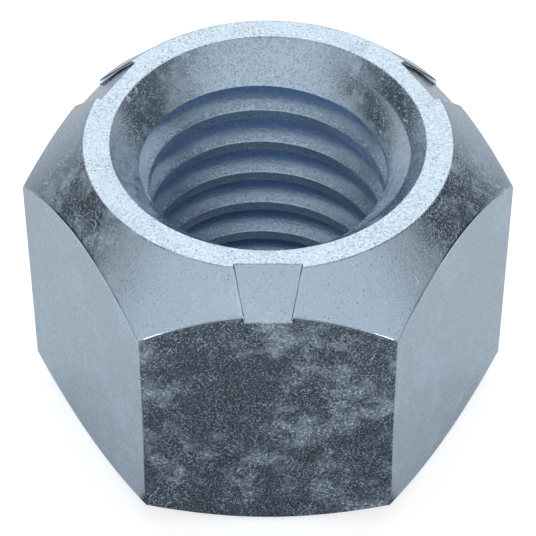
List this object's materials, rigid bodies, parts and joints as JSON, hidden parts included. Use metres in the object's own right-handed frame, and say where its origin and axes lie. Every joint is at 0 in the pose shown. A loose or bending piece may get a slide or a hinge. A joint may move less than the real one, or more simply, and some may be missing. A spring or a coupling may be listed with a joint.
{
  "type": "top lock nut",
  "caption": "Hexagonal all-metal lock nut with a coned top, crimped on alternate flats so that the top threads grip the bolt, and a right-hand threaded through bore.",
  "frame": {"origin": "middle of the bearing face, on the bore's axis", "axes": "+Z along the bore from the bearing face to the flat ring at the crimped end; one flat of the hexagon faces -Y, with a crimp above it, and two corners lie on the X axis"},
  "size_m": [0.022, 0.019, 0.0147],
  "materials": {
    "zinc_plated_steel": "bluish zinc plating, satin, with cloudy mottling and fine specks"
  },
  "bodies": {
    "root": {"lock_nut": "zinc_plated_steel"}
  },
  "joints": []
}
